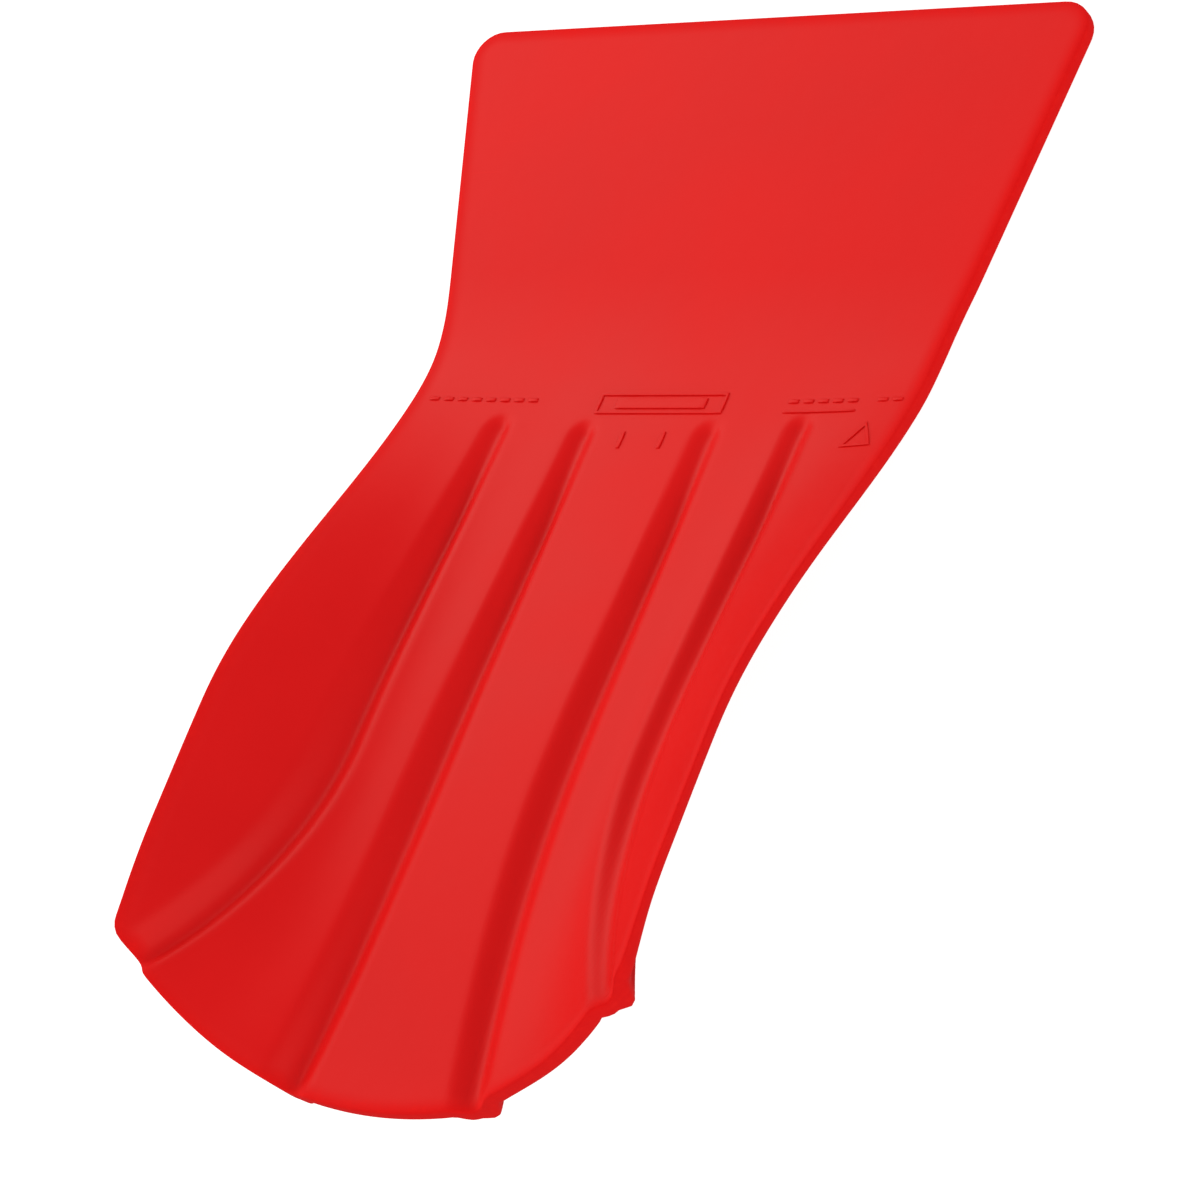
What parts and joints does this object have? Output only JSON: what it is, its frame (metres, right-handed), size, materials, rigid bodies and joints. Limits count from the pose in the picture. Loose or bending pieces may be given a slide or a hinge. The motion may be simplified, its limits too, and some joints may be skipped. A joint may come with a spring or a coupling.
{
  "type": "moulded guard plate",
  "caption": "One-piece moulded plastic guard: flat panel, narrower waist, rising ramp and a fluted, upturned scoop that shelters what hangs behind it.",
  "frame": {"origin": "middle of the flat part of the panel's underside", "axes": "+X across the guard, +Y towards the panel's straight edge, +Z towards the hollow side of the scoop"},
  "size_m": [0.2168, 0.3684, 0.0786],
  "materials": {
    "moulded_plastic": "through-coloured red polyolefin, satin as moulded, fine orange peel"
  },
  "bodies": {
    "root": {"guard_shell": "moulded_plastic", "badge_frame": "moulded_plastic", "badge_bar": "moulded_plastic", "short_strokes": "moulded_plastic", "rule_line": "moulded_plastic", "right_dashes": "moulded_plastic", "left_dashes": "moulded_plastic", "triangle_mark": "moulded_plastic"}
  },
  "joints": []
}
